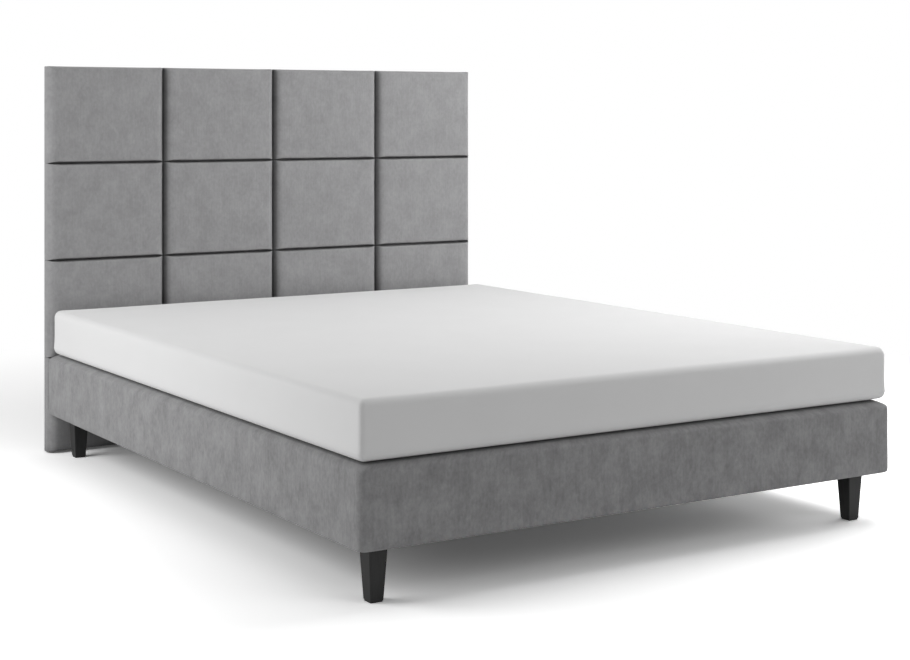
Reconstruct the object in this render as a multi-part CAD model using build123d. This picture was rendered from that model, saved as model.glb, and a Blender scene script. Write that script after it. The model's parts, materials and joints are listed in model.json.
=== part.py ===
from build123d import *
import os
from math import cos, pi, sin

# Upholstered bed: a covered box base on tapered legs, a mattress, and a headboard of square pads.
# Millimetres. X runs across the bed, Y from the foot to the headboard, Z up.
# The origin is on the floor, in the middle of the bed's length and width.

# Fits between pieces
soft_clearance = 0.3
wood_clearance = 0.5
bolt_clearance = 0.2
cut_overrun = 5.0

# Soft outlines are drawn with this many short steps at each corner and along each side
corner_steps = 3
side_steps = 4

# Mattress
mattress_width = 1600.0
mattress_length = 2000.0
mattress_height = 141.0
mattress_edge_radius = 20.0
mattress_corner_radius = 24.0
mattress_edge_steps = 3
ticking_thickness = 5.0
mattress_head_gap = 37.0
foot_lap = 8.0

# Box base: outside sizes, cover, padding and the wooden box inside
base_side_lap = 4.0
base_height = 193.0
base_corner_radius = 18.0
base_edge_reach = 48.0
base_edge_fall = 20.0
base_edge_shares = [(0, 1), (0.04, 0.8), (0.13, 0.62), (0.32, 0.35), (0.6, 0.12), (1, 0)]
base_bottom_radius = 5.0
border_thickness = 12.0
border_top_lap = 90.0
top_cover_thickness = 2.5
dust_cover_thickness = 1.0
border_under_lap = 40.0
foam_thickness = 28.0
foam_edge_fall = 16.0
felt_thickness = 6.0
rail_thickness = 22.0
beam_width = 45.0
slat_count = 14
slat_width = 70.0
slat_thickness = 20.0
ledge_width = 30.0
ledge_height = 30.0
block_size = 95.0
block_height = 45.0
bracket_leg = 60.0
bracket_width = 50.0
bracket_thickness = 2.5

# Legs: the height runs from the floor to the underside of the base
leg_height = 130.0
leg_top_size = 48.5
leg_foot_size = 33.5
leg_edge_bevel = 1.2
leg_inset = 76.0
glide_height = 4.0
glide_rim = 1.2

# Leg bolts, and the square nuts that hold them in the box
leg_bolt_radius = 5.0
leg_bolt_depth = 40.0
leg_nut_size = 26.0
leg_nut_thickness = 6.0

# Headboard: pads, their boards, the frame behind and the cloth on its back
headboard_side_inset = 9.0
headboard_height = 1232.0
pad_columns = 4
pad_rows = 4
outer_pad_trim = 8.0
lowest_pad_trim = 9.0
pad_gap = 0.6
pad_depth = 56.0
pad_crown = 5.0
pad_crown_shares = [(0.62, 0.35), (0.8, 0)]
pad_edge_reach = 27.0
pad_edge_fall = 26.0
pad_edge_shares = [(0, 1), (0.04, 0.74), (0.16, 0.46), (0.4, 0.2), (1, 0)]
pad_corner_radius = 5.0
pad_corner_limit_share = 0.35
pad_draw_share = 0.008
pad_board_thickness = 12.0
pad_wrap_thickness = 6.0
frame_thickness = 22.0
frame_inset = 26.0
frame_rail_height = 80.0
upright_count = 3
upright_width = 90.0
upright_inset = 204.0
back_cloth_thickness = 1.0
back_cloth_inset = 6.0
headboard_glide_height = 4.0
headboard_glide_size = 20.0

# Bolts that hold the headboard to the base
headboard_bolt_radius = 4.0
headboard_bolt_rise = 60.0
headboard_bolt_spacing = 64.0
headboard_bolt_head_radius = 7.5
headboard_bolt_head_height = 5.5
washer_size = 24.0
washer_thickness = 2.0
headboard_nut_size = 22.0
headboard_nut_thickness = 5.0

# Levels and faces that follow from the sizes
base_width = mattress_width + 2 * base_side_lap
headboard_width = base_width - 2 * headboard_side_inset
pad_pitch_x = (headboard_width + 2 * outer_pad_trim) / pad_columns
pad_pitch_z = (headboard_height - headboard_glide_height + lowest_pad_trim) / pad_rows
pad_seam_xs = [pad_pitch_x * (i - pad_columns / 2) for i in range(1, pad_columns)]
pad_seam_zs = [headboard_height - pad_pitch_z * (pad_rows - i) for i in range(1, pad_rows)]
headboard_depth = pad_depth + frame_thickness + back_cloth_thickness
bed_length = headboard_depth + mattress_head_gap + mattress_length + foot_lap
foot_y = -bed_length / 2
back_y = bed_length / 2
pad_front_y = back_y - headboard_depth
pad_back_y = pad_front_y + pad_depth
frame_back_y = pad_back_y + frame_thickness
base_head_y = pad_front_y - soft_clearance
base_bottom_z = leg_height
base_top_z = base_bottom_z + base_height
base_middle_y = (foot_y + base_head_y) / 2
base_length = base_head_y - foot_y
box_bottom_z = base_bottom_z + dust_cover_thickness
foam_top_z = base_top_z - top_cover_thickness
felt_top_z = foam_top_z - foam_thickness
mattress_bottom_z = base_top_z + soft_clearance
mattress_top_z = mattress_bottom_z + mattress_height
mattress_head_y = pad_front_y - mattress_head_gap
mattress_foot_y = mattress_head_y - mattress_length
mattress_middle_y = (mattress_head_y + mattress_foot_y) / 2
rail_top_z = felt_top_z - felt_thickness
box_half_width = base_width / 2 - border_thickness - soft_clearance
box_foot_y = foot_y + border_thickness + soft_clearance
box_head_y = base_head_y - border_thickness - soft_clearance
inner_half_width = box_half_width - rail_thickness
inner_foot_y = box_foot_y + rail_thickness
inner_head_y = box_head_y - rail_thickness
slat_bottom_z = rail_top_z - slat_thickness
block_top_z = box_bottom_z + block_height
leg_bolt_top_z = block_top_z + leg_nut_thickness
leg_x = base_width / 2 - leg_inset
leg_foot_y = foot_y + leg_inset
leg_head_y = base_head_y - leg_inset
centre_leg_y = (leg_foot_y + leg_head_y) / 2
upright_span = base_width - 2 * upright_inset
upright_xs = [upright_span * (i / (upright_count - 1) - 1 / 2) for i in range(upright_count)]
frame_half_width = headboard_width / 2 - frame_inset
frame_top_z = headboard_height - frame_inset
headboard_bolt_low_z = base_bottom_z + headboard_bolt_rise
headboard_bolt_zs = [headboard_bolt_low_z, headboard_bolt_low_z + headboard_bolt_spacing]
headboard_bolt_xs = [upright_xs[0], upright_xs[-1]]
at_headboard_bolts = [(x, z) for x in headboard_bolt_xs for z in headboard_bolt_zs]
leg_places = [(x, y) for x in (-leg_x, leg_x) for y in (leg_foot_y, leg_head_y)]
bolt_places = leg_places + [(0, centre_leg_y)]


def block(low, high):
    """A box between two corners."""
    size = [b - a for a, b in zip(low, high)]
    middle = [(a + b) / 2 for a, b in zip(low, high)]
    return Pos(*middle) * Box(*size)


def rod_z(x, y, low_z, high_z, radius):
    """An upright cylinder between two levels."""
    return Pos(x, y, (low_z + high_z) / 2) * Cylinder(radius, high_z - low_z)


def rod_y(x, z, low_y, high_y, radius):
    """A cylinder along Y between two places."""
    return Pos(x, (low_y + high_y) / 2, z) * Rot(90, 0, 0) * Cylinder(radius, high_y - low_y)


def soft_outline(width, height, radius, draw_share=0):
    """Points round a rectangle with rounded corners, its sides bowed inwards in the middle."""
    points = []
    for quarter in range(4):
        turn = quarter * pi / 2
        reach = (width, height) if quarter % 2 == 0 else (height, width)
        near = (reach[0] / 2 - radius, reach[1] / 2 - radius)
        for step in range(corner_steps + 1):
            angle = pi / 2 * step / corner_steps
            points.append((near[0] + radius * cos(angle), near[1] + radius * sin(angle), turn))
        for step in range(1, side_steps if draw_share else 1):
            along = 1 - 2 * step / side_steps
            draw = near[0] * draw_share * (1 - along ** 2)
            points.append((near[0] * along, reach[1] / 2 - draw, turn))
    return [(x * cos(a) - y * sin(a), x * sin(a) + y * cos(a)) for x, y, a in points]


def level_ring(points, x, y, z):
    """A plan outline set at one level."""
    return [(x + u, y + v, z) for u, v in points]


def flat_face(points):
    return Face(Wire.make_polygon(points, close=True))


def tiers(rings):
    """A solid with flat flanks through a row of rings of points that answer each other."""
    faces = [flat_face(rings[0]), flat_face(rings[-1])]
    for low, high in zip(rings, rings[1:]):
        for i in range(len(low)):
            faces.append(flat_face([low[i - 1], low[i], high[i], high[i - 1]]))
    return Solid(Shell(faces))


def save(name, shape):
    """Write one node, as a group when it holds several solids."""
    export_step(Compound(shape) if isinstance(shape, list) else shape, f"parts/{name}.step")


# Mattress
def mattress_form():
    """The mattress's outside, with all its edges rounded."""
    radius = mattress_edge_radius
    angles = [pi / 2 * i / mattress_edge_steps for i in range(mattress_edge_steps + 1)]
    rises = [(radius * (1 - cos(a)), radius * (1 - sin(a))) for a in angles]
    lower = [(rise, inset) for rise, inset in rises]
    upper = [(mattress_height - rise, inset) for rise, inset in reversed(rises)]
    rings = []
    for level, inset in lower + upper:
        width = mattress_width - 2 * inset
        length = mattress_length - 2 * inset
        outline = soft_outline(width, length, mattress_corner_radius - inset)
        rings.append(level_ring(outline, 0, mattress_middle_y, mattress_bottom_z + level))
    return tiers(rings)


def mattress_inside(inset):
    """The space inside the ticking, or the core that fills it, with its edges cut off slantwise."""
    body = block(
        (-mattress_width / 2 + inset, mattress_foot_y + inset, mattress_bottom_z + inset),
        (mattress_width / 2 - inset, mattress_head_y - inset, mattress_top_z - inset),
    )
    return chamfer(body.edges(), mattress_edge_radius - inset)


def mattress_cover():
    return mattress_form() - mattress_inside(ticking_thickness)


def mattress_core():
    return mattress_inside(ticking_thickness + soft_clearance)


# Box base, from the cover inwards
def base_ring(inset, z):
    """The base's rounded plan at one level, drawn in by one distance all round."""
    radius = base_corner_radius
    outline = soft_outline(base_width - 2 * inset, base_length - 2 * inset, radius)
    return level_ring(outline, 0, base_middle_y, z)


def base_form():
    """The covered base: its top falls away softly to the sides, and its lower edge is rounded."""
    radius = base_bottom_radius
    rings = [base_ring(radius, base_bottom_z), base_ring(0, base_bottom_z + radius)]
    for reach_share, fall_share in base_edge_shares:
        z = base_top_z - base_edge_fall * fall_share
        rings.append(base_ring(base_edge_reach * reach_share, z))
    return tiers(rings)


def padding_form(inset, low_z, high_z):
    """The box's padding, or the room for it, with a top that falls away to the sides."""
    edge_z = high_z - foam_edge_fall
    slant = base_edge_reach - border_thickness
    rings = []
    for draw, z in ((0, low_z), (0, edge_z), (slant, high_z)):
        half_width = base_width / 2 - inset - draw
        half_length = base_length / 2 - inset - draw
        corners = [(half_width * a, half_length * b) for a, b in ((1, 1), (-1, 1), (-1, -1), (1, -1))]
        rings.append(level_ring(corners, 0, base_middle_y, z))
    return tiers(rings)


def base_inset(inset, low_z, high_z):
    """The base's plan drawn in by one distance all round, between two levels."""
    return block(
        (-base_width / 2 + inset, foot_y + inset, low_z),
        (base_width / 2 - inset, base_head_y - inset, high_z),
    )


def border_cover():
    """Foam-backed fabric round the box, lapped over its top and under its bottom edge."""
    cover = base_form()
    cover -= padding_form(border_thickness, box_bottom_z, foam_top_z + soft_clearance)
    cover -= base_inset(border_top_lap, foam_top_z, base_top_z + cut_overrun)
    cover -= base_inset(border_under_lap, base_bottom_z - cut_overrun, box_bottom_z)
    for x, z in at_headboard_bolts:
        cover -= bolt_hole(x, z, base_head_y - border_thickness, base_head_y)
    return cover


def top_cover():
    """The plain cloth that fills the top, sewn into the border's lap."""
    return base_inset(border_top_lap + soft_clearance, foam_top_z + soft_clearance, base_top_z)


def foam_pad():
    return padding_form(border_thickness + soft_clearance, felt_top_z, foam_top_z)


def felt_pad():
    return block(
        (-box_half_width, box_foot_y, rail_top_z),
        (box_half_width, box_head_y, felt_top_z),
    )


def foot_rail():
    return block(
        (-box_half_width, box_foot_y, box_bottom_z),
        (box_half_width, inner_foot_y, rail_top_z),
    )


def head_rail():
    rail = block(
        (-box_half_width, inner_head_y, box_bottom_z),
        (box_half_width, box_head_y, rail_top_z),
    )
    for x, z in at_headboard_bolts:
        rail -= bolt_hole(x, z, inner_head_y, box_head_y)
    return rail


def side_rail(side):
    faces = sorted((side * inner_half_width, side * box_half_width))
    return block((faces[0], inner_foot_y, box_bottom_z), (faces[1], inner_head_y, rail_top_z))


def slat_ledge(side):
    """The batten on a side rail that carries the slats' ends."""
    faces = sorted((side * inner_half_width, side * (inner_half_width - ledge_width)))
    return block(
        (faces[0], inner_foot_y, slat_bottom_z - ledge_height),
        (faces[1], inner_head_y, slat_bottom_z),
    )


def centre_beam():
    """A board on edge under the middle of the slats, bored for the centre leg's stud."""
    beam = block(
        (-beam_width / 2, inner_foot_y, box_bottom_z),
        (beam_width / 2, inner_head_y, slat_bottom_z),
    )
    return beam - rod_z(0, centre_leg_y, box_bottom_z, leg_bolt_top_z, leg_bolt_radius)


def slats():
    """Fixed slats, laid at even steps from the foot to the head."""
    half = inner_half_width - wood_clearance
    pitch = (inner_head_y - inner_foot_y) / slat_count
    rows = []
    for i in range(slat_count):
        middle_y = inner_foot_y + pitch * (i + 1 / 2)
        rows.append(
            block(
                (-half, middle_y - slat_width / 2, slat_bottom_z),
                (half, middle_y + slat_width / 2, rail_top_z),
            )
        )
    return rows


def beam_bracket(side, end):
    """An angle of steel that ties the beam to a rail."""
    rail_y = inner_foot_y if end < 0 else inner_head_y
    across = sorted((side * beam_width / 2, side * (beam_width / 2 + bracket_leg)))
    thin_x = sorted((side * beam_width / 2, side * (beam_width / 2 + bracket_thickness)))
    along = sorted((rail_y, rail_y - end * bracket_leg))
    thin_y = sorted((rail_y, rail_y - end * bracket_thickness))
    middle_z = (box_bottom_z + slat_bottom_z) / 2
    low_z = middle_z - bracket_width / 2
    high_z = middle_z + bracket_width / 2
    angle = block((across[0], thin_y[0], low_z), (across[1], thin_y[1], high_z))
    return angle + block((thin_x[0], along[0], low_z), (thin_x[1], along[1], high_z))


def beam_brackets():
    return [beam_bracket(side, end) for side in (-1, 1) for end in (-1, 1)]


def corner_block(x, y):
    """A block glued into a corner of the box, bored for the leg's bolt."""
    side_x = inner_half_width if x > 0 else -inner_half_width
    end_y = inner_head_y if y > 0 else inner_foot_y
    across = sorted((side_x, side_x - block_size * (1 if x > 0 else -1)))
    along = sorted((end_y, end_y - block_size * (1 if y > 0 else -1)))
    body = block((across[0], along[0], box_bottom_z), (across[1], along[1], block_top_z))
    return body - rod_z(x, y, box_bottom_z, block_top_z, leg_bolt_radius + bolt_clearance)


def corner_blocks():
    return [corner_block(x, y) for x, y in leg_places]


def dust_cover():
    """Thin cloth stretched over the underside of the box, cut open for each leg bolt."""
    sheet = base_inset(border_under_lap + soft_clearance, base_bottom_z, box_bottom_z)
    half = leg_bolt_radius + bolt_clearance
    for x, y in bolt_places:
        sheet -= block((x - half, y - half, base_bottom_z), (x + half, y + half, box_bottom_z))
    return sheet


# Legs
def bevelled_square(side):
    """Points round a square with its four corners cut off slantwise."""
    far = side / 2
    near = far - leg_edge_bevel
    corners = [(far, near), (near, far), (-near, far), (-far, near)]
    return corners + [(-x, -y) for x, y in corners]


def tapered_leg(x, y):
    """A square wooden leg, narrower at the foot, bored for its bolt."""
    foot = level_ring(bevelled_square(leg_foot_size), x, y, glide_height)
    top = level_ring(bevelled_square(leg_top_size), x, y, leg_height)
    return tiers([foot, top]) - rod_z(x, y, leg_height - leg_bolt_depth, leg_height, leg_bolt_radius)


def square_glide(x, y, size, height):
    """A flat square of plastic on the floor."""
    square = bevelled_square(size)
    return tiers([level_ring(square, x, y, 0), level_ring(square, x, y, height)])


def leg_glides():
    """Flat plastic glides, a little smaller than the feet that they are pressed on."""
    size = leg_foot_size - 2 * glide_rim
    return [square_glide(x, y, size, glide_height) for x, y in bolt_places]


def leg_bolts():
    """Studs from the legs up through the blocks and the beam."""
    low_z = leg_height - leg_bolt_depth
    return [rod_z(x, y, low_z, leg_bolt_top_z, leg_bolt_radius) for x, y in bolt_places]


def leg_nut(x, y):
    """A square nut on top of a corner block."""
    half = leg_nut_size / 2
    nut = block((x - half, y - half, block_top_z), (x + half, y + half, leg_bolt_top_z))
    return nut - rod_z(x, y, block_top_z, leg_bolt_top_z, leg_bolt_radius + bolt_clearance / 2)


def leg_nuts():
    """One nut in each corner block; the centre leg's stud is screwed into the beam itself."""
    return [leg_nut(x, y) for x, y in leg_places]


# Headboard
def pad_spans(low, seams, high):
    """Both faces of each pad in a line, from the line's ends and the seams between them."""
    lows = [low] + [seam + pad_gap / 2 for seam in seams]
    highs = [seam - pad_gap / 2 for seam in seams] + [high]
    return list(zip(lows, highs))


def board_pocket(width, height, clearance):
    """The place of a pad's board, let into the back of the pad."""
    inset = pad_wrap_thickness - clearance
    low_y = pad_back_y - pad_board_thickness
    return block(
        (inset - width / 2, low_y, inset - height / 2),
        (width / 2 - inset, pad_back_y, height / 2 - inset),
    )


def pad_ring(width, height, inset, y):
    """A pad's outline at one depth, drawn in by one distance all round."""
    radius = min(pad_corner_radius + inset / 2, (height - 2 * inset) * pad_corner_limit_share)
    outline = soft_outline(width - 2 * inset, height - 2 * inset, radius, pad_draw_share)
    return [(x, y, z) for x, z in outline]


def pad_form(width, height):
    """A crowned square cushion with soft front edges, and a pocket behind for its board."""
    edge_y = pad_front_y + pad_crown
    rings = [pad_ring(width, height, 0, pad_back_y)]
    for reach_share, fall_share in pad_edge_shares:
        y = edge_y + pad_edge_fall * fall_share
        rings.append(pad_ring(width, height, pad_edge_reach * reach_share, y))
    for size_share, fall_share in pad_crown_shares:
        inset = pad_edge_reach + (height / 2 - pad_edge_reach) * size_share
        rings.append(pad_ring(width, height, inset, pad_front_y + pad_crown * fall_share))
    return tiers(rings) - board_pocket(width, height, 0)


def bolts_within(low_z, high_z):
    """Middles of the headboard bolts that pass a piece between two levels."""
    margin = headboard_nut_size / 2
    levels = [z for z in headboard_bolt_zs if low_z - margin < z < high_z + margin]
    return [(x, z) for x in headboard_bolt_xs for z in levels]


def bolt_hole(x, z, low_y, high_y):
    """A clear hole for one of the headboard's bolts."""
    return rod_y(x, z, low_y, high_y, headboard_bolt_radius + bolt_clearance)


def bolted_columns(low_z, high_z, low_x, high_x):
    """The bolts that pass one pad."""
    return [(x, z) for x, z in bolts_within(low_z, high_z) if low_x < x < high_x]


def headboard_pads():
    """One cushion for each place, named by its row from the top and its column."""
    pads = {}
    rows = pad_spans(headboard_glide_height, pad_seam_zs, headboard_height)
    columns = pad_spans(-headboard_width / 2, pad_seam_xs, headboard_width / 2)
    for row, (low_z, high_z) in enumerate(rows):
        for column, (low_x, high_x) in enumerate(columns):
            place = Pos((low_x + high_x) / 2, 0, (low_z + high_z) / 2)
            pad = place * pad_form(high_x - low_x, high_z - low_z)
            for x, z in bolted_columns(low_z, high_z, low_x, high_x):
                pad -= bolt_hole(x, z, pad_front_y, pad_back_y)
            pads[f"headboard_pad_row_{pad_rows - row}_column_{column + 1}"] = pad
    return pads


def pad_boards(row):
    """The plywood boards under one row of pads."""
    low_z, high_z = pad_spans(headboard_glide_height, pad_seam_zs, headboard_height)[row]
    boards = []
    for low_x, high_x in pad_spans(-headboard_width / 2, pad_seam_xs, headboard_width / 2):
        place = Pos((low_x + high_x) / 2, 0, (low_z + high_z) / 2)
        board = place * board_pocket(high_x - low_x, high_z - low_z, -soft_clearance)
        for x, z in bolted_columns(low_z, high_z, low_x, high_x):
            board -= bolt_hole(x, z, pad_front_y, pad_back_y)
        boards.append(board)
    return boards


def frame_rail_levels():
    """Lower faces of the frame's rails: at the bottom, behind each groove and at the top."""
    middles = [z - frame_rail_height / 2 for z in pad_seam_zs]
    return [headboard_glide_height + frame_inset] + middles + [frame_top_z - frame_rail_height]


def frame_rail(low_z):
    """A rail of the headboard's frame, halved at the back where the uprights cross."""
    rail = block(
        (-frame_half_width, pad_back_y, low_z),
        (frame_half_width, frame_back_y, low_z + frame_rail_height),
    )
    for x in upright_xs:
        rail -= block(
            (x - upright_width / 2, pad_back_y + frame_thickness / 2, low_z),
            (x + upright_width / 2, frame_back_y, low_z + frame_rail_height),
        )
    for x, z in bolts_within(low_z, low_z + frame_rail_height):
        rail -= nut_seat(x, z)
    return rail


def upright(x):
    """An upright of the headboard's frame, halved at the front where the rails cross."""
    post = block(
        (x - upright_width / 2, pad_back_y, headboard_glide_height),
        (x + upright_width / 2, frame_back_y, frame_top_z),
    )
    for low_z in frame_rail_levels():
        post -= block(
            (x - upright_width / 2, pad_back_y, low_z),
            (x + upright_width / 2, pad_back_y + frame_thickness / 2, low_z + frame_rail_height),
        )
    if x in headboard_bolt_xs:
        for z in headboard_bolt_zs:
            post -= nut_seat(x, z)
    return post


def nut_block(x, z):
    """The room of one square nut, let into the back of an upright."""
    half = headboard_nut_size / 2
    front_y = frame_back_y - headboard_nut_thickness
    return block((x - half, front_y, z - half), (x + half, frame_back_y, z + half))


def nut_seat(x, z):
    """The bore and the recess for a nut at the back of an upright."""
    return bolt_hole(x, z, pad_back_y, frame_back_y) + nut_block(x, z)


def headboard_nut(x, z):
    front_y = frame_back_y - headboard_nut_thickness
    bore = rod_y(x, z, front_y, frame_back_y, headboard_bolt_radius + bolt_clearance / 2)
    return nut_block(x, z) - bore


def headboard_bolt(x, z):
    """A hexagon-headed bolt from inside the base to the back of an upright."""
    seat_y = inner_head_y - washer_thickness
    head = Plane.XZ * RegularPolygon(headboard_bolt_head_radius, 6)
    head = Pos(x, seat_y, z) * extrude(head, headboard_bolt_head_height)
    return head + rod_y(x, z, seat_y, frame_back_y, headboard_bolt_radius)


def washer(x, z):
    """A square plate washer against the base's head rail."""
    half = washer_size / 2
    low_y = inner_head_y - washer_thickness
    plate = block((x - half, low_y, z - half), (x + half, inner_head_y, z + half))
    return plate - bolt_hole(x, z, low_y, inner_head_y)


def headboard_glides():
    """Small square pads under the uprights' ends."""
    y = pad_back_y + frame_thickness / 2
    return [square_glide(x, y, headboard_glide_size, headboard_glide_height) for x in upright_xs]


def back_cloth():
    """Cloth stretched over the back of the frame."""
    half = frame_half_width - back_cloth_inset
    return block(
        (-half, frame_back_y, headboard_glide_height + back_cloth_inset),
        (half, back_y, frame_top_z - back_cloth_inset),
    )


def main():
    os.makedirs("parts", exist_ok=True)
    save("mattress_cover", mattress_cover())
    save("mattress_core", mattress_core())
    save("base_border_cover", border_cover())
    save("base_top_cover", top_cover())
    save("base_foam_pad", foam_pad())
    save("base_felt_pad", felt_pad())
    save("base_foot_rail", foot_rail())
    save("base_head_rail", head_rail())
    save("base_side_rail_left", side_rail(-1))
    save("base_side_rail_right", side_rail(1))
    save("slat_ledge_left", slat_ledge(-1))
    save("slat_ledge_right", slat_ledge(1))
    save("centre_beam", centre_beam())
    save("slats", slats())
    save("beam_brackets", beam_brackets())
    save("corner_blocks", corner_blocks())
    save("base_dust_cover", dust_cover())
    for x, side in ((-leg_x, "left"), (leg_x, "right")):
        save(f"leg_foot_{side}", tapered_leg(x, leg_foot_y))
        save(f"leg_head_{side}", tapered_leg(x, leg_head_y))
    save("leg_centre", tapered_leg(0, centre_leg_y))
    save("leg_glides", leg_glides())
    save("leg_bolts", leg_bolts())
    save("leg_nuts", leg_nuts())
    for name, pad in headboard_pads().items():
        save(name, pad)
    for row in range(pad_rows):
        save(f"pad_boards_row_{pad_rows - row}", pad_boards(row))
    for i, low_z in enumerate(frame_rail_levels()):
        save(f"headboard_rail_{i + 1}", frame_rail(low_z))
    for i, x in enumerate(upright_xs):
        save(f"headboard_upright_{i + 1}", upright(x))
    save("headboard_bolts", [headboard_bolt(x, z) for x, z in at_headboard_bolts])
    save("headboard_washers", [washer(x, z) for x, z in at_headboard_bolts])
    save("headboard_nuts", [headboard_nut(x, z) for x, z in at_headboard_bolts])
    save("headboard_glides", headboard_glides())
    save("headboard_back_cloth", back_cloth())


main()
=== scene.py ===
import bpy
import json
import math
import numpy as np
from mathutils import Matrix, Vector, noise


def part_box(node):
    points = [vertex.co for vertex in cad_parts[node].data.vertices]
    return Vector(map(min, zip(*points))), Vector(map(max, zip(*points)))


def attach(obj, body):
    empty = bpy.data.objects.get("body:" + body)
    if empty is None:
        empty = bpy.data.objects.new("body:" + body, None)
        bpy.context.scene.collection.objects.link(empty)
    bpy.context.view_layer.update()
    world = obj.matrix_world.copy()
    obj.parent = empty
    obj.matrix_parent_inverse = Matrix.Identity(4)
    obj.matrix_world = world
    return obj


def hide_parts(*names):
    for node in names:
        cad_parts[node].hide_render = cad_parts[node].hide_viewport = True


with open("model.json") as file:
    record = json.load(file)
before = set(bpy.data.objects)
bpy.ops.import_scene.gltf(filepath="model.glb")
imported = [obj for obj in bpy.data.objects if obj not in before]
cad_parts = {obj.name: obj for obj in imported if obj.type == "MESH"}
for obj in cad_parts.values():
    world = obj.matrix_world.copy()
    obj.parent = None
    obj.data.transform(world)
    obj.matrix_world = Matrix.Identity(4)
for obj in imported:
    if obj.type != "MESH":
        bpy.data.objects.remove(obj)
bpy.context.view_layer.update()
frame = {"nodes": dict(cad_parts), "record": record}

# Sizes are in metres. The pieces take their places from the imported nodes.

# Forms of the padded pieces. The turn of the edge reaches in by reach (across and up), and falls by
# fall at the front and by back_fall at the back, which is flat where that is 0. The middle of the
# front stands higher by crown, and step is the size of the grid's cells.
CUSHION = {
    "reach": (0.030, 0.0050), "fall": 0.026, "back_fall": 0,
    "crown": 0.005, "squareness": 16, "step": 0.013,
}
MATTRESS = {
    "reach": (0.020, 0.020), "fall": 0.020, "back_fall": 0.020,
    "crown": 0.0015, "squareness": 3, "step": 0.035,
}
EDGE_STEPS = 5  # from the start of an edge's turn to its end
SIDE_SHARES = (0.35, 0.7, 0.96, 1)  # the rings down a side, as shares of its depth

PAD_ROWS = 4
PAD_COLUMNS = 4
CUSHION_FILL = 0.00025  # a cushion's side past its node's, so that neighbours meet
CUSHION_DRAW = 0.0020  # how far the middle of an upright side is drawn in
CUSHION_PRESSURE = 3.0
CUSHION_SWELL = 0.004  # the most that a point moves when the cushion is blown up
CUSHION_CLOTH_SHIFT = 0.7  # between the pieces of cloth that two neighbours are cut from

MATTRESS_SLACK = 0.0005  # the mattress's side inside its node's
MATTRESS_PRESSURE = 1.5
MATTRESS_SWELL = 0.002
MATTRESS_HELD = 0.03  # the height below which it doesn't swell
MATTRESS_UNEVEN = (0.06, 0.14)  # the heights between which its unevenness sets in

# Blender's cloth settings for the pieces that are blown up.
CLOTH = {
    "quality": 5, "mass": 0.3, "tension_stiffness": 20, "compression_stiffness": 20,
    "shear_stiffness": 10, "bending_stiffness": 1.5, "use_pressure": True,
}
CLOTH_FRAMES = 20

# The section of the base's cover: the inset and fall of its soft top edge, the insets of its lap on
# the flat top, which is pulled down a little at the seam, and those of its lap under the box.
BASE_EDGE = (
    (0, 0.0200), (0.0016, 0.0160), (0.0060, 0.0124),
    (0.0150, 0.0070), (0.0290, 0.0024), (0.0480, 0),
)
BASE_TOP_INSETS = (0.062, 0.076, 0.087)
BORDER_LAP = 0.090
BORDER_TUCK = 0.0015
BORDER_UNDER_INSETS = (0.040, 0.020)
BORDER_BOTTOM_RADIUS = 0.007
BORDER_EVEN = 0.002  # the height over the box's underside up to which the cover is even
BORDER_SIDE_FROM = 0.96  # how far out from the middle a side's unevenness starts, as a share
BASE_CORNER = 0.018
BASE_CORNER_GROWTH = 0.3  # how much the corner's radius grows, for each metre of inset
BASE_CORNER_STEPS = 5
BASE_SIDE_STEPS = (84, 108)

SHEET_STEP = 0.03
CLOTH_TURN = 0.001  # how sharply the back cloth turns forward, and its room over the frame
CLOTH_CLEARANCE = 0.0008

PILE_RIBS = 0.025  # the ribs' share in the pile's tone
PILE_TINT = (1.004, 1.0, 1.014)
WORN_EDGE = 0.0005

# The room: the lamps, each with its place, target, size and watts, the white world and the floor.
LAMPS = {
    "light_left": ((-2.8, 0.6, 1.4), (-0.5, 0.0, 0.3), (2.0, 1.4), 36),
    "light_right_above": ((1.3, -0.5, 2.4), (0.2, 0.8, 0.5), (1.8, 1.8), 33),
    "light_right_low": ((3.2, -0.6, 0.9), (0.6, -0.6, 0.0), (2.4, 1.2), 30.5),
    "light_front": ((1.2, -3.8, 2.2), (0.2, 0.9, 0.6), (2.0, 1.6), 14),
}
WORLD_LIGHT = 0.314  # the world's strength as light on the object, and as a backdrop
WORLD_SEEN = 1.0
FLOOR_HALF = 12.0
FLOOR_TONE = 0.8  # the floor's tone in the light that it throws back, and as it is seen
FLOOR_TONE_SEEN = 1.62
# A faint glow that only the camera sees, painted over the floor to lighten its shadows.
FLOOR_SHADOW_LIFT = 0.062
FLOOR_FADE = (1.8, 3.4)  # where the shaded floor starts to run out into white, and where it ends

CAMERA_PLACE = (-2.6120, -4.3392, 1.0890)
CAMERA_TURN = -32.033
CAMERA_LENS = 68.369
CAMERA_SHIFT = -0.2405


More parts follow.
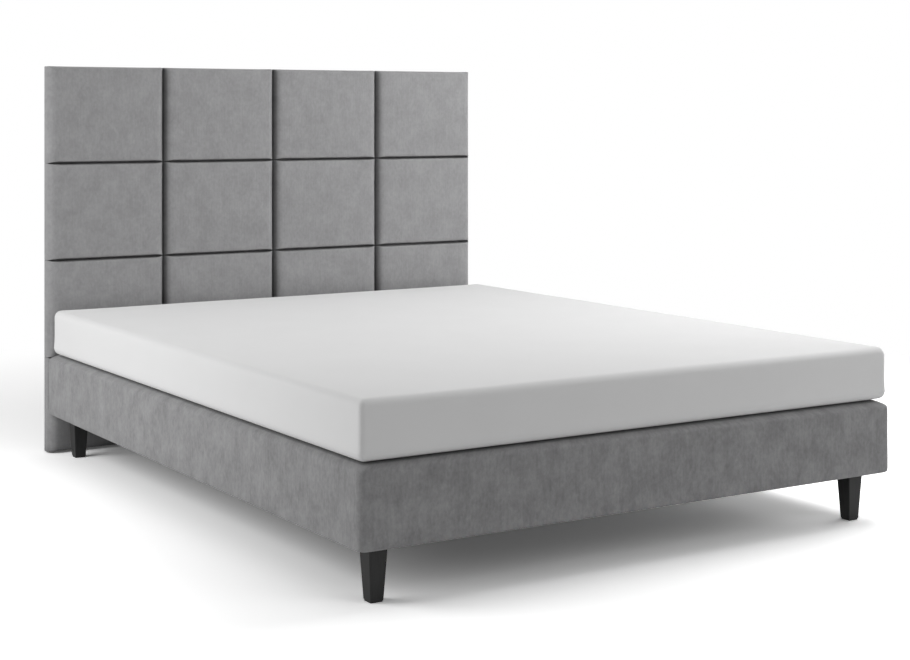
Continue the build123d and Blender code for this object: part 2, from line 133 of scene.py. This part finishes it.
# Materials
class Nodes:
    """One node tree, with short calls that add nodes to it and link them."""

    def __init__(self, tree):
        self.tree = tree

    def node(self, kind, inputs=None, **settings):
        """A new node with its settings, and a value or another node's output for each input."""
        node = self.tree.nodes.new("ShaderNode" + kind)
        for key, value in settings.items():
            setattr(node, key, value)
        for key, value in (inputs or {}).items():
            self.feed(node.inputs[key], value)
        return node

    def feed(self, socket, value):
        """Link an output to a socket, or set the socket's own value."""
        if isinstance(value, bpy.types.NodeSocket):
            self.tree.links.new(value, socket)
        else:
            socket.default_value = value

    def math(self, operation, a, b):
        return self.node("Math", {0: a, 1: b}, operation=operation).outputs[0]

    def total(self, *weighted):
        """The sum of values, each times its weight."""
        result = 0.0
        for value, weight in weighted:
            result = self.math("ADD", self.math("MULTIPLY", value, weight), result)
        return result

    def between(self, value, low, high):
        """A value from 0 to 1, stretched to run from low to high."""
        inputs = {"Value": value, "To Min": low, "To Max": high}
        return self.node("MapRange", inputs).outputs["Result"]

    def spread(self, value, low, high, **settings):
        """The part of a value between two levels, stretched to 0 to 1."""
        inputs = {"Value": value, "From Min": low, "From Max": high}
        return self.node("MapRange", inputs, **settings).outputs["Result"]


class Finish(Nodes):
    """A material around one Principled shader."""

    def __init__(self, name, colour, roughness, **sockets):
        self.material = bpy.data.materials.new(name)
        self.material.use_nodes = True
        super().__init__(self.material.node_tree)
        self.shader = self.tree.nodes["Principled BSDF"]
        self.shader.inputs["Base Color"].default_value = (*colour, 1)
        self.shader.inputs["Roughness"].default_value = roughness
        for socket, value in sockets.items():
            self.shader.inputs[socket.replace("_", " ")].default_value = value

    def place(self, source, scale=(1, 1, 1)):
        """Coordinates in metres, times a scale along each axis."""
        vector = self.node("TexCoord").outputs[source]
        return self.node("Mapping", {"Vector": vector, "Scale": scale}).outputs["Vector"]

    def noise(self, vector, scale, detail, roughness):
        inputs = {"Vector": vector, "Scale": scale, "Detail": detail, "Roughness": roughness}
        return self.node("TexNoise", inputs).outputs["Fac"]

    def wave(self, vector, scale):
        return self.node("TexWave", {"Vector": vector, "Scale": scale}).outputs["Fac"]

    def colour_between(self, factor, dark, light):
        """Colour the shader from dark to light by a factor."""
        node = self.node("Mix", data_type="RGBA")
        self.feed(node.inputs["Factor"], factor)
        for socket in node.inputs:
            if socket.type == "RGBA":
                socket.default_value = (*(dark if socket.name == "A" else light), 1)
        colour = [socket for socket in node.outputs if socket.type == "RGBA"][0]
        self.feed(self.shader.inputs["Base Color"], colour)

    def paint_shade_in_folds(self, reach, depth=0.74, gamma=1.4):
        """Paint shade into the colour where another surface is close, in the seams of the
        upholstery.
        """
        target = self.shader.inputs["Base Color"]
        colour = target.links[0].from_socket
        near = self.node("AmbientOcclusion", {"Distance": reach}, samples=6)
        openness = self.math("POWER", near.outputs["AO"], gamma)
        share = self.total((openness, depth), (1.0, 1 - depth))
        scaled = self.node("VectorMath", operation="SCALE")
        self.feed(scaled.inputs["Vector"], colour)
        self.feed(scaled.inputs["Scale"], share)
        self.feed(target, scaled.outputs["Vector"])

    def bump(self, height, depth, strength):
        inputs = {"Height": height, "Distance": depth, "Strength": strength}
        self.feed(self.shader.inputs["Normal"], self.node("Bump", inputs).outputs["Normal"])


def grey(level, warmth=0.0):
    return (level * (1 + warmth), level, level * (1 - warmth))


def cool(level):
    """A grey with the pile's slight tint."""
    return tuple(level * share for share in PILE_TINT)


def pile_fabric(name, dark, light, streaks, patches, grain, painted_shade_reach):
    """Short brushed pile with fine upright ribs, streaks of laid pile and soft patches, with
    painted shade in its seams.
    """
    finish = Finish(
        name, grey(light), 0.92, Sheen_Weight=0.25, Sheen_Roughness=0.45, Specular_IOR_Level=0.15
    )
    ribs = finish.wave(finish.place("UV"), scale=34.0)
    streak = finish.noise(finish.place("UV", (60, 14, 1)), scale=1.0, detail=3.0, roughness=0.6)
    patch = finish.noise(finish.place("UV", (1, 0.8, 1)), scale=17.0, detail=4.0, roughness=0.65)
    nap = finish.noise(finish.place("UV", (1, 0.6, 1)), scale=110.0, detail=3.0, roughness=0.65)
    fibre = finish.noise(finish.place("UV", (1, 0.35, 1)), scale=900.0, detail=2.0, roughness=0.6)
    tone = finish.total(
        (finish.spread(streak, 0.32, 0.68), streaks),
        (finish.spread(patch, 0.35, 0.65), patches),
        (finish.spread(nap, 0.35, 0.65), grain),
        (ribs, PILE_RIBS),
        (fibre, 1 - streaks - patches - grain - PILE_RIBS),
    )
    finish.colour_between(tone, cool(dark), cool(light))
    # Painted shade: the colour darkens in the seams, by how close other surfaces are.
    finish.paint_shade_in_folds(painted_shade_reach)
    finish.bump(finish.total((ribs, 0.2), (fibre, 0.8)), depth=0.0006, strength=0.5)
    return finish.material


def ticking(name):
    """Plain white knitted cover with a fine stitch."""
    finish = Finish(
        name, grey(0.80), 0.85, Sheen_Weight=0.15, Sheen_Roughness=0.5, Specular_IOR_Level=0.2
    )
    stitch = finish.wave(finish.place("UV"), scale=130.0)
    soft = finish.noise(finish.place("UV"), scale=6.0, detail=3.0, roughness=0.5)
    fibre = finish.noise(finish.place("UV"), scale=700.0, detail=2.0, roughness=0.6)
    finish.colour_between(finish.total((soft, 0.5), (fibre, 0.5)), grey(0.77), grey(0.83))
    height = finish.total((stitch, 0.3), (fibre, 0.3), (soft, 0.4))
    finish.bump(height, depth=0.0005, strength=0.35)
    return finish.material


def lining(name):
    """Thin bonded cloth with its pattern of small pressed dots."""
    finish = Finish(name, grey(0.03), 0.8, Specular_IOR_Level=0.25)
    inputs = {"Vector": finish.place("UV"), "Scale": 420.0, "Randomness": 0.15}
    cells = finish.node("TexVoronoi", inputs)
    dots = finish.spread(cells.outputs["Distance"], 0.2, 0.5)
    fibre = finish.noise(finish.place("UV"), scale=260.0, detail=4.0, roughness=0.7)
    finish.colour_between(finish.total((dots, 0.5), (fibre, 0.5)), grey(0.018), grey(0.045))
    finish.bump(dots, depth=0.0003, strength=0.6)
    return finish.material


def wadding(name):
    """Plain pale cloth over the padding."""
    finish = Finish(name, grey(0.55), 0.9)
    weave = finish.noise(finish.place("UV"), scale=500.0, detail=2.0, roughness=0.6)
    soft = finish.noise(finish.place("UV"), scale=8.0, detail=3.0, roughness=0.5)
    tone = finish.total((weave, 0.6), (soft, 0.4))
    finish.colour_between(tone, grey(0.46, 0.02), grey(0.60, 0.02))
    finish.bump(weave, depth=0.0004, strength=0.5)
    return finish.material


def softwood(name, axis):
    """Planed pine, its grain along one axis."""
    finish = Finish(name, (0.55, 0.36, 0.19), 0.6, Specular_IOR_Level=0.35)
    scale = [14.0, 14.0, 14.0]
    scale[axis] = 0.9
    along = finish.place("Object", scale)
    rings = finish.node(
        "TexWave", {"Vector": along, "Scale": 2.2, "Distortion": 5.0, "Detail": 3.0},
        wave_type="RINGS", rings_direction="XYZ"[axis],
    )
    fine = finish.noise(along, scale=22.0, detail=4.0, roughness=0.7)
    tone = finish.total((rings.outputs["Fac"], 0.6), (fine, 0.4))
    finish.colour_between(tone, (0.43, 0.25, 0.11), (0.66, 0.46, 0.26))
    finish.bump(fine, depth=0.0003, strength=0.4)
    return finish.material


def black_wood(name):
    """Black lacquer over wood, with the grain just showing."""
    finish = Finish(name, grey(0.016), 0.42)
    along = finish.place("Object", (160, 160, 9))
    grain = finish.noise(along, scale=1.0, detail=4.0, roughness=0.65)
    finish.colour_between(finish.spread(grain, 0.3, 0.7), grey(0.010), grey(0.024))
    finish.feed(finish.shader.inputs["Roughness"], finish.total((grain, 0.25), (1.0, 0.32)))
    finish.bump(grain, depth=0.0003, strength=0.35)
    return finish.material


def black_plastic(name):
    """Moulded black plastic with a fine even grain."""
    finish = Finish(name, grey(0.02), 0.5)
    grain = finish.noise(finish.place("Object"), scale=900.0, detail=2.0, roughness=0.6)
    finish.colour_between(grain, grey(0.014), grey(0.028))
    finish.bump(grain, depth=0.0002, strength=0.5)
    return finish.material


def zinc(name):
    """Zinc-plated steel, a little uneven in colour and shine."""
    finish = Finish(name, (0.62, 0.63, 0.65), 0.35, Metallic=1.0)
    spots = finish.noise(finish.place("Object"), scale=160.0, detail=3.0, roughness=0.6)
    finish.colour_between(spots, (0.50, 0.51, 0.53), (0.70, 0.71, 0.73))
    finish.feed(finish.shader.inputs["Roughness"], finish.total((spots, 0.25), (1.0, 0.22)))
    return finish.material


MATERIALS = {
    # The last figure of each fabric is how far the painted seam shade reaches.
    "pads": pile_fabric(
        "pads_fabric", dark=0.243, light=0.369,
        streaks=0.14, patches=0.34, grain=0.26, painted_shade_reach=0.032,
    ),
    "upholstery": pile_fabric(
        "base_fabric", dark=0.198, light=0.392,
        streaks=0.16, patches=0.40, grain=0.24, painted_shade_reach=0.009,
    ),
    "mattress_ticking": ticking("mattress_fabric"),
    "mattress_foam": wadding("foam"),
    "padding": wadding("padding_cloth"),
    "lining": lining("lining_cloth"),
    "softwood_0": softwood("pine_across", 0),
    "softwood_1": softwood("pine_along", 1),
    "softwood_2": softwood("pine_upright", 2),
    "black_wood": black_wood("leg_lacquer"),
    "black_plastic": black_plastic("glide_plastic"),
    "zinc_steel": zinc("zinc"),
}


def dress_nodes():
    """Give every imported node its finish, with wood grain along the node's longest side."""
    slots = {part["node"]: part["material_slot"] for part in frame["record"]["subparts"]}
    for name, node in frame["nodes"].items():
        key = slots[name]
        if key == "softwood":
            low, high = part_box(name)
            longest = max(range(3), key=lambda axis: high[axis] - low[axis])
            key = f"softwood_{longest}"
        node.data.materials.clear()
        node.data.materials.append(MATERIALS[key])
        if key in ("black_wood", "black_plastic"):
            bevel = node.modifiers.new("worn_edges", "BEVEL")
            bevel.width = WORN_EDGE
            bevel.segments = 2


# Meshes
def make_piece(name, points, faces, uvs, material):
    """A smooth mesh object with one coordinate pair for each point."""
    mesh = bpy.data.meshes.new(name)
    mesh.from_pydata([tuple(p) for p in points], [], faces)
    layer = mesh.uv_layers.new(name="UVMap")
    corners = np.zeros(len(mesh.loops), int)
    mesh.loops.foreach_get("vertex_index", corners)
    layer.data.foreach_set("uv", np.asarray(uvs, np.float32)[corners].ravel())
    mesh.polygons.foreach_set("use_smooth", [True] * len(mesh.polygons))
    mesh.materials.append(MATERIALS[material])
    piece = bpy.data.objects.new(name, mesh)
    bpy.context.scene.collection.objects.link(piece)
    return piece


def finish_piece(piece, body, slot, *nodes):
    """Put a piece on the body that it rides on and hide the nodes that it stands for. What it is
    made of, the slot, is not used.
    """
    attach(piece, body)
    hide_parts(*nodes)


def coordinates(mesh):
    points = np.zeros(len(mesh.vertices) * 3)
    mesh.vertices.foreach_get("co", points)
    return points.reshape(-1, 3)


def set_coordinates(mesh, points):
    mesh.vertices.foreach_set("co", np.asarray(points, np.float32).ravel())
    mesh.update()


def subdivide(piece):
    modifier = piece.modifiers.new("smooth", "SUBSURF")
    modifier.levels = 1
    modifier.render_levels = 1


def weld(piece):
    """Join the points where a wrapped grid meets itself."""
    modifier = piece.modifiers.new("closed", "WELD")
    modifier.merge_threshold = 0.00001


def grid_faces(rows, columns, flip=False):
    """Faces between the points of a grid."""
    faces = []
    for i in range(rows - 1):
        for j in range(columns - 1):
            a = i * columns + j
            face = (a, a + columns, a + columns + 1, a + 1)
            faces.append(face[::-1] if flip else face)
    return faces


def bridge(near, far):
    """Faces between two closed rings of points."""
    near_next, far_next = near[1:] + near[:1], far[1:] + far[:1]
    return list(zip(near, far, far_next, near_next))


def rim(rows, columns):
    """Indices round the edge of a grid, in order."""
    order = [(i, 0) for i in range(rows - 1)]
    order += [(rows - 1, j) for j in range(columns - 1)]
    order += [(i, columns - 1) for i in range(rows - 1, 0, -1)]
    order += [(0, j) for j in range(columns - 1, 0, -1)]
    return [i * columns + j for i, j in order]


def ripple(points, seed, size, depth):
    """Small smooth unevenness, the same each run, as one number for each point."""
    shift = Vector((seed * 3.7, seed * 1.3, seed * 5.1))
    return np.array([noise.noise(Vector(p) / size + shift) * depth for p in points])


def distances(points):
    """How far along a line each of its points lies."""
    steps = np.linalg.norm(np.diff(points, axis=0), axis=1)
    return np.concatenate([[0], np.cumsum(steps)])


def stops(half, reach, step):
    """Places from one side of a cushion to the other, close together where its edges turn."""
    inner = half - reach
    count = max(2, round(2 * inner / step))
    middle = np.linspace(-inner, inner, count + 1)
    turn = np.sin(np.linspace(0, math.pi / 2, EDGE_STEPS + 1))[1:]
    edge = inner + reach * turn
    return np.concatenate([-edge[::-1], middle, edge])


def rounded_face(us, vs, half_u, half_v, reach, squareness):
    """A grid with soft corners, and for each point how far round the edge it is, from 0 to 1."""
    u, v = np.meshgrid(us, vs, indexing="ij")
    turn_u = np.clip((abs(u) - half_u + reach[0]) / reach[0], 0, 1)
    turn_v = np.clip((abs(v) - half_v + reach[1]) / reach[1], 0, 1)
    turn = (turn_u ** squareness + turn_v ** squareness) ** (1 / squareness)
    pull = np.where(turn > 1, 1 / np.maximum(turn, 1), 1)
    turned_u = np.sign(u) * (half_u - reach[0] + reach[0] * turn_u * pull)
    turned_v = np.sign(v) * (half_v - reach[1] + reach[1] * turn_v * pull)
    u = np.where(turn_u > 0, turned_u, u)
    v = np.where(turn_v > 0, turned_v, v)
    return u, v, np.minimum(turn, 1)


def cushion_form(half_u, half_v, depth, reach, fall, back_fall, crown, squareness, step):
    """A closed cushion in its own axes: across, up and outwards from its back at 0."""
    us = stops(half_u, reach[0], step)
    vs = stops(half_v, reach[1], step)
    u, v, turn = rounded_face(us, vs, half_u, half_v, reach, squareness)
    bulge = crown * (1 - (1 - (u / half_u) ** 2) * (1 - (v / half_v) ** 2))
    away = 1 - np.sqrt(1 - turn ** 2)
    rows, columns = u.shape
    front = np.stack([u, v, depth - bulge - fall * away], -1).reshape(-1, 3)
    points, uvs = [front], [front[:, :2]]
    faces = grid_faces(rows, columns)

    # The sides, down from the front's rim, with their pattern unrolled outwards from it.
    edge = rim(rows, columns)
    ring = front[edge]
    ahead = np.roll(ring, -1, 0) - np.roll(ring, 1, 0)
    outward = np.stack([ahead[:, 1], -ahead[:, 0]], -1)
    outward /= np.linalg.norm(outward, axis=1)[:, None]
    previous = edge
    start = rows * columns
    for share in SIDE_SHARES:
        level = ring[:, 2] + (back_fall - ring[:, 2]) * share
        points.append(np.column_stack([ring[:, :2], level]))
        uvs.append(ring[:, :2] + outward * (ring[:, 2] - level)[:, None])
        current = list(range(start, start + len(edge)))
        faces += bridge(previous, current)
        previous = current
        start += len(edge)

    # The back, which shares the last ring of the sides.
    back = np.stack([u, v, back_fall * away], -1).reshape(-1, 3)
    index = dict(zip(edge, previous))
    inner = [i for i in range(rows * columns) if i not in index]
    index.update((i, start + place) for place, i in enumerate(inner))
    points.append(back[inner])
    uvs.append(back[inner][:, :2])
    faces += [tuple(index[i] for i in face) for face in grid_faces(rows, columns, flip=True)]
    return np.concatenate(points), faces, np.concatenate(uvs)


def inflate(piece, held, pressure, cap):
    """Blow a cushion up as cloth, with its held points pinned, and cap how far each point moves."""
    scene = bpy.context.scene
    rest = coordinates(piece.data)
    group = piece.vertex_groups.new(name="held")
    for index, weight in enumerate(held):
        group.add([index], float(weight), "REPLACE")
    cloth = piece.modifiers.new("cloth", "CLOTH")
    for key, value in CLOTH.items():
        setattr(cloth.settings, key, value)
    cloth.settings.uniform_pressure_force = pressure
    cloth.settings.effector_weights.gravity = 0
    cloth.settings.vertex_group_mass = group.name
    cloth.collision_settings.use_collision = False
    for step in range(1, CLOTH_FRAMES + 1):
        scene.frame_set(step)
    shown = piece.evaluated_get(bpy.context.evaluated_depsgraph_get()).to_mesh()
    moved = coordinates(shown) - rest
    length = np.linalg.norm(moved, axis=1)[:, None]
    set_coordinates(piece.data, rest + moved * np.minimum(1, cap / np.maximum(length, 1e-9)))
    piece.modifiers.remove(cloth)
    piece.vertex_groups.remove(group)
    scene.frame_set(1)


# The object's soft pieces
def headboard_cushion(row, column):
    """One square cushion of the headboard, blown up over its board."""
    node = f"headboard_pad_row_{row}_column_{column}"
    low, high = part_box(node)
    half_u = (high.x - low.x) / 2 + CUSHION_FILL
    half_v = (high.z - low.z) / 2 + CUSHION_FILL
    depth = high.y - low.y
    points, faces, uvs = cushion_form(half_u, half_v, depth, **CUSHION)
    u, v, out = points.T
    share = np.clip(out / depth, 0, 1)

    # The sides are drawn in most at the front and half-way between two corners.
    draw = CUSHION_DRAW * share
    u = u - np.sign(u) * draw * (1 - (v / half_v) ** 12) * (abs(u) / half_u) ** 8
    v = v - np.sign(v) * draw / 4 * (1 - (points[:, 0] / half_u) ** 12) * (abs(v) / half_v) ** 8
    centre = ((low.x + high.x) / 2, (low.z + high.z) / 2)
    placed = np.column_stack([u + centre[0], high.y - out, v + centre[1]])
    seed = row * PAD_COLUMNS + column
    placed[:, 1] += ripple(placed, seed, size=0.11, depth=0.0012) * share
    uvs = uvs + (centre[0] + seed * CUSHION_CLOTH_SHIFT, centre[1])
    outside_in = [face[::-1] for face in faces]
    piece = make_piece(f"cushion_row_{row}_column_{column}", placed, outside_in, uvs, "pads")
    held = np.clip(1.6 - 2.2 * share, 0, 1)  # all at the back, none at the front
    inflate(piece, held, CUSHION_PRESSURE, CUSHION_SWELL)
    subdivide(piece)
    finish_piece(piece, "bed_frame", "upholstery", node)


def mattress():
    """The loose mattress, firm and flat, with soft edges."""
    low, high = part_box("mattress_cover")
    half_u = (high.x - low.x) / 2 - MATTRESS_SLACK
    half_v = (high.y - low.y) / 2 - MATTRESS_SLACK
    points, faces, uvs = cushion_form(half_u, half_v, high.z - low.z, **MATTRESS)
    centre = np.array([(low.x + high.x) / 2, (low.y + high.y) / 2, low.z])
    placed = points + centre
    start, end = MATTRESS_UNEVEN
    uneven = np.clip((points[:, 2] - start) / (end - start), 0, 1)
    placed[:, 2] += ripple(points, seed=9, size=0.35, depth=0.0012) * uneven
    piece = make_piece("mattress_padding", placed, faces, uvs, "mattress_ticking")
    held = np.where(points[:, 2] < MATTRESS_HELD, 1.0, 0.0)
    inflate(piece, held, MATTRESS_PRESSURE, MATTRESS_SWELL)
    subdivide(piece)
    finish_piece(piece, "mattress", "mattress_ticking", "mattress_cover", "mattress_core")


def plan_ring(half_x, half_y, radius):
    """Points round a rectangle with rounded corners, with the same count for any size."""
    ring = []
    for quarter in range(4):
        turn = quarter * math.pi / 2
        reach = (half_x, half_y) if quarter % 2 == 0 else (half_y, half_x)
        near = (reach[0] - radius, reach[1] - radius)
        for step in range(BASE_CORNER_STEPS + 1):
            angle = math.pi / 2 * step / BASE_CORNER_STEPS
            x = near[0] + radius * math.cos(angle)
            y = near[1] + radius * math.sin(angle)
            ring.append((x, y, turn))
        count = BASE_SIDE_STEPS[quarter % 2]
        for step in range(1, count):
            ring.append((near[0] * (1 - 2 * step / count), reach[1], turn))
    return np.array([
        (x * math.cos(a) - y * math.sin(a), x * math.sin(a) + y * math.cos(a)) for x, y, a in ring
    ])


def border_profile(bottom, top):
    """Inset and height of the cover's section, from under the box round to the seam on its top."""
    radius = BORDER_BOTTOM_RADIUS
    profile = [(inset, bottom) for inset in (*BORDER_UNDER_INSETS, radius)]
    for angle in (30, 60, 90):
        turn = math.radians(angle)
        profile.append((radius * (1 - math.sin(turn)), bottom + radius * (1 - math.cos(turn))))
    side_top = top - BASE_EDGE[0][1]
    for share in (0.2, 0.4, 0.6, 0.8):
        profile.append((0, bottom + radius + (side_top - bottom - radius) * share))
    profile += [(inset, top - fall) for inset, fall in BASE_EDGE]
    profile += [(inset, top) for inset in BASE_TOP_INSETS]
    return profile + [(BORDER_LAP, top - BORDER_TUCK)]


def base_border():
    """The fabric round the box base, in one piece over its top edge and under its bottom edge."""
    low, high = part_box("base_border_cover")
    half = np.array([(high.x - low.x) / 2, (high.y - low.y) / 2])
    centre = np.array([(low.x + high.x) / 2, (low.y + high.y) / 2])
    profile = border_profile(low.z, high.z)
    rings = []
    for inset, z in profile:
        plan = plan_ring(*(half - inset), BASE_CORNER + inset * BASE_CORNER_GROWTH)
        closed = np.vstack([plan, plan[:1]]) + centre
        rings.append(np.column_stack([closed, np.full(len(closed), z)]))
    points = np.concatenate(rings)

    # The pattern runs round the cover's widest ring and along its section.
    widest = next(ring for ring, (inset, z) in zip(rings, profile) if inset == 0)
    across, around = np.meshgrid(distances(profile), distances(widest), indexing="ij")
    uvs = np.stack([around, across], -1).reshape(-1, 2)

    # The cloth lies a little unevenly on the four sides.
    uneven = points[:, 2] > low.z + BORDER_EVEN
    out = (points[:, :2] - centre) / half
    side = np.where(abs(out) > BORDER_SIDE_FROM, np.sign(out), 0)
    wave = ripple(points, seed=3, size=0.16, depth=0.0011) * uneven
    points[:, :2] -= side * abs(wave)[:, None]
    faces = grid_faces(len(rings), len(widest), flip=True)
    piece = make_piece("base_border", points, faces, uvs, "upholstery")
    weld(piece)
    subdivide(piece)
    finish_piece(
        piece, "bed_frame", "upholstery", "base_border_cover", "base_foam_pad", "base_felt_pad"
    )


def slack(s, t):
    """How loose a stretched cloth is between its fixed edges, at shares of its two sides."""
    return np.clip(16 * s * (1 - s) * t * (1 - t), 0, 1)


def flat_sheet(name, node, sag, finish):
    """A stretched level cloth in the place of a thin node."""
    low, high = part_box(node)
    size = (high.x - low.x, high.y - low.y)
    rows, columns = (round(side / SHEET_STEP) + 1 for side in size)
    s, t = np.meshgrid(np.linspace(0, 1, rows), np.linspace(0, 1, columns), indexing="ij")
    x, y = low.x + size[0] * s, low.y + size[1] * t
    points = np.stack([x, y, np.zeros_like(x)], -1).reshape(-1, 3)
    loose = slack(s, t).ravel() * ripple(points, seed=5, size=0.2, depth=sag)
    points[:, 2] = (low.z + high.z) / 2 + loose
    piece = make_piece(name, points, grid_faces(rows, columns), points[:, :2], finish)
    finish_piece(piece, "bed_frame", finish, node)


def fold(low, high, depth, both, count):
    """Places across a cloth that turns forward over its high edge, and over the low one where
    both is true, with how far forward each place lies."""
    turned = (CLOTH_TURN, depth / 2, depth)
    path = [(low, forward) for forward in turned[::-1] if both]
    level = np.linspace(low + CLOTH_TURN * both, high - CLOTH_TURN, count)
    path += [(place, 0) for place in level]
    path += [(high, forward) for forward in turned]
    return np.array(path)


def headboard_back():
    """The black cloth on the headboard's back, turned forward over the frame's sides and top."""
    low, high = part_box("headboard_back_cloth")
    rail_low, rail_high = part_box("headboard_rail_5")
    back = (low.y + high.y) / 2
    depth = back - rail_low.y - CLOTH_CLEARANCE
    side = rail_high.x + CLOTH_CLEARANCE
    top = rail_high.z + CLOTH_CLEARANCE
    across = fold(-side, side, depth, both=True, count=53)
    up = fold(low.z, top, depth, both=False, count=41)
    x, z = np.meshgrid(across[:, 0], up[:, 0], indexing="ij")
    turned_x, turned_z = np.meshgrid(across[:, 1], up[:, 1], indexing="ij")
    forward = np.maximum(turned_x, turned_z)
    points = np.stack([x, back - forward, z], -1).reshape(-1, 3)
    s, t = (x + side) / (2 * side), (z - low.z) / (rail_high.z - low.z)
    loose = np.where(forward > 0, 0, slack(s, t)).ravel()
    points[:, 1] += loose * ripple(points, seed=5, size=0.2, depth=0.0008)

    # The cloth is cut away at its top corners, where the two turns would meet.
    cut = (np.minimum(turned_x, turned_z) > CLOTH_TURN).ravel()
    faces = [face for face in grid_faces(*x.shape, flip=True) if not any(cut[k] for k in face)]
    used = sorted({k for face in faces for k in face})
    place = {k: n for n, k in enumerate(used)}
    faces = [tuple(place[k] for k in face) for face in faces]
    uvs = np.stack([x + np.sign(x) * turned_x, z + turned_z], -1).reshape(-1, 2)
    piece = make_piece("headboard_back_sheet", points[used], faces, uvs[used], "lining")
    finish_piece(piece, "bed_frame", "lining", "headboard_back_cloth")


# The room around the object
def area_light(name, place, target, size, power):
    data = bpy.data.lights.new(name, "AREA")
    data.shape = "RECTANGLE"
    data.size, data.size_y = size
    data.energy = power
    light = bpy.data.objects.new(name, data)
    light.location = place
    aim = Vector(target) - Vector(place)
    light.rotation_euler = aim.to_track_quat("-Z", "Y").to_euler()
    bpy.context.scene.collection.objects.link(light)


def studio():
    """The lamps, and a white world that lights the object less strongly than it shows."""
    for name, settings in LAMPS.items():
        area_light(name, *settings)
    world = bpy.data.worlds.new("studio")
    world.use_nodes = True
    bpy.context.scene.world = world
    nodes = Nodes(world.node_tree)
    rays = nodes.node("LightPath").outputs
    seen = nodes.math("ADD", rays["Is Camera Ray"], rays["Is Glossy Ray"])
    seen = nodes.math("ADD", seen, rays["Is Transmission Ray"])
    background = nodes.tree.nodes["Background"]
    background.inputs["Color"].default_value = (1, 1, 1, 1)
    strength = nodes.between(seen, WORLD_LIGHT, WORLD_SEEN)
    nodes.feed(background.inputs["Strength"], strength)


def floor():
    """A pale floor that takes the object's shadow, lightened by a painted glow, and runs out into
    white further off.
    """
    mesh = bpy.data.meshes.new("floor")
    half = FLOOR_HALF
    corners = [(-half, -half, 0), (half, -half, 0), (half, half, 0), (-half, half, 0)]
    mesh.from_pydata(corners, [], [(0, 1, 2, 3)])
    plane = bpy.data.objects.new("floor", mesh)
    bpy.context.scene.collection.objects.link(plane)
    material = bpy.data.materials.new("pale_floor")
    material.use_nodes = True
    nodes = Nodes(material.node_tree)
    nodes.tree.nodes.clear()
    seen = nodes.node("LightPath").outputs["Is Camera Ray"]
    diffuse = nodes.node("BsdfDiffuse", {"Color": nodes.between(seen, FLOOR_TONE, FLOOR_TONE_SEEN)})
    # Painted light: a faint glow, seen only by the camera, that lightens the floor's shadows.
    shadow_lift_glow = nodes.node("Emission", {"Strength": nodes.math("MULTIPLY", seen, FLOOR_SHADOW_LIFT)})
    shaded = nodes.node("AddShader", {0: diffuse.outputs[0], 1: shadow_lift_glow.outputs[0]})
    white = nodes.node("Emission", {"Strength": 1.0})
    place = nodes.node("TexCoord").outputs["Object"]
    distance = nodes.node("VectorMath", {0: place}, operation="LENGTH").outputs["Value"]
    far = nodes.spread(distance, *FLOOR_FADE, interpolation_type="SMOOTHSTEP")
    share = nodes.math("MULTIPLY", far, seen)
    mix = nodes.node("MixShader", {"Fac": share, 1: shaded.outputs[0], 2: white.outputs[0]})
    nodes.node("OutputMaterial", {"Surface": mix.outputs[0]})
    mesh.materials.append(material)


def camera():
    """The photograph's camera: level and turned, with the frame shifted down."""
    data = bpy.data.cameras.new("camera")
    data.sensor_width = 36
    data.lens = CAMERA_LENS
    data.shift_y = CAMERA_SHIFT
    view = bpy.data.objects.new("camera", data)
    view.location = CAMERA_PLACE
    view.rotation_euler = (math.radians(90), 0, math.radians(CAMERA_TURN))
    bpy.context.scene.collection.objects.link(view)
    bpy.context.scene.camera = view


dress_nodes()
for row in range(1, PAD_ROWS + 1):
    for column in range(1, PAD_COLUMNS + 1):
        headboard_cushion(row, column)
mattress()
base_border()
flat_sheet("base_top_sheet", "base_top_cover", 0.0006, "padding")
flat_sheet(
    "base_dust_sheet", "base_dust_cover", 0.0008, "lining",
)
headboard_back()
camera()
studio()
floor()
bpy.context.scene.view_settings.view_transform = "Standard"
